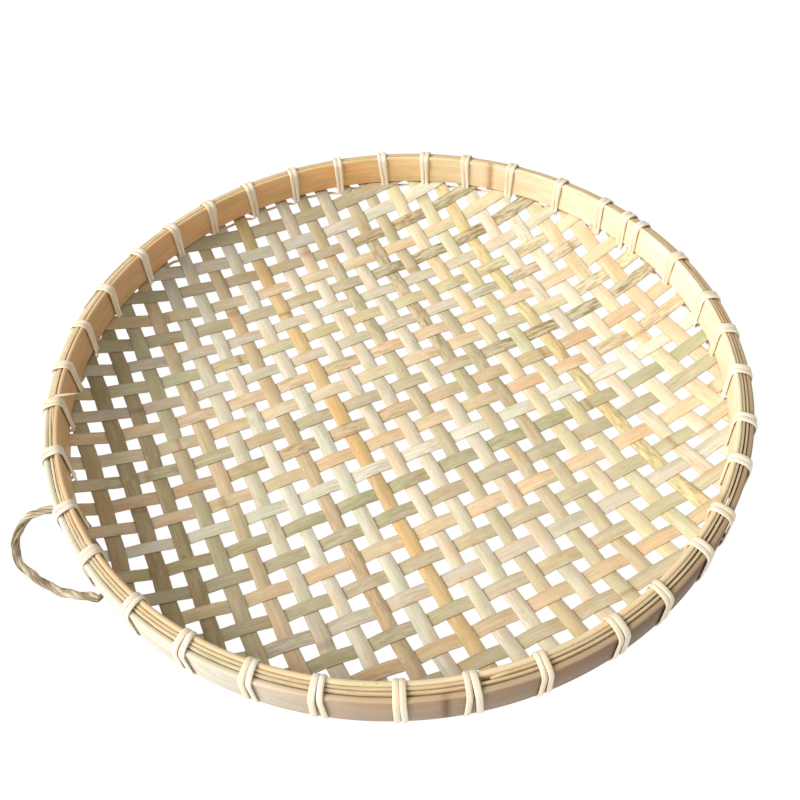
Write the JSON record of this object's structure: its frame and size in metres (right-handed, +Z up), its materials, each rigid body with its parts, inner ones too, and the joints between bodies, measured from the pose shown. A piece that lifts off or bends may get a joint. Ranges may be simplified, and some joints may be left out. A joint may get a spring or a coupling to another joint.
{
  "type": "round bamboo tray basket",
  "caption": "Round shallow open-weave bamboo tray basket with a double-hoop rim bound in cane and a cord hanging loop.",
  "frame": {"origin": "centre of the round tray at the level of the resting face under the middle of the mat", "axes": "+Z up out of the open top; the hanging loop leaves the rim in the -X -Y quarter, 30 degrees from -X"},
  "size_m": [0.4711, 0.453, 0.0525],
  "materials": {
    "warp_bamboo": "dry split bamboo, pale straw with some amber splints, matte",
    "weft_bamboo": "dry split bamboo, straw to olive, matte",
    "hoop_bamboo": "bent bamboo strip, honey to brown, low satin",
    "filler_bamboo": "split bamboo edge, rough",
    "cane": "split cane, cream, low satin",
    "twine": "twisted plant-fibre cord, matte"
  },
  "bodies": {
    "tray": {"inner_filler": "filler_bamboo", "inner_hoop": "hoop_bamboo", "loop_root": "twine", "outer_filler": "filler_bamboo", "outer_hoop": "hoop_bamboo", "rim_lashing": "cane", "warp_splint_01": "warp_bamboo", "warp_splint_02": "warp_bamboo", "warp_splint_03": "warp_bamboo", "warp_splint_04": "warp_bamboo", "warp_splint_05": "warp_bamboo", "warp_splint_06": "warp_bamboo", "warp_splint_07": "warp_bamboo", "warp_splint_08": "warp_bamboo", "warp_splint_09": "warp_bamboo", "warp_splint_10": "warp_bamboo", "warp_splint_11": "warp_bamboo", "warp_splint_12": "warp_bamboo", "warp_splint_13": "warp_bamboo", "warp_splint_14": "warp_bamboo", "warp_splint_15": "warp_bamboo", "warp_splint_16": "warp_bamboo", "warp_splint_17": "warp_bamboo", "warp_splint_18": "warp_bamboo", "warp_splint_19": "warp_bamboo", "warp_splint_20": "warp_bamboo", "warp_splint_21": "warp_bamboo", "warp_splint_22": "warp_bamboo", "warp_splint_23": "warp_bamboo", "weft_splint_01": "weft_bamboo", "weft_splint_02": "weft_bamboo", "weft_splint_03": "weft_bamboo", "weft_splint_04": "weft_bamboo", "weft_splint_05": "weft_bamboo", "weft_splint_06": "weft_bamboo", "weft_splint_07": "weft_bamboo", "weft_splint_08": "weft_bamboo", "weft_splint_09": "weft_bamboo", "weft_splint_10": "weft_bamboo", "weft_splint_11": "weft_bamboo", "weft_splint_12": "weft_bamboo", "weft_splint_13": "weft_bamboo", "weft_splint_14": "weft_bamboo", "weft_splint_15": "weft_bamboo", "weft_splint_16": "weft_bamboo", "weft_splint_17": "weft_bamboo", "weft_splint_18": "weft_bamboo", "weft_splint_19": "weft_bamboo", "weft_splint_20": "weft_bamboo", "weft_splint_21": "weft_bamboo", "weft_splint_22": "weft_bamboo"},
    "loop": {"hanging_loop": "twine"}
  },
  "joints": [
    {"name": "loop_swing", "type": "hinge", "parent": "tray", "child": "loop", "pos_m": [-0.19483, -0.11249, 0.0201], "axis": [-0.5, 0.866, 0], "range_deg": [0, 90]}
  ]
}
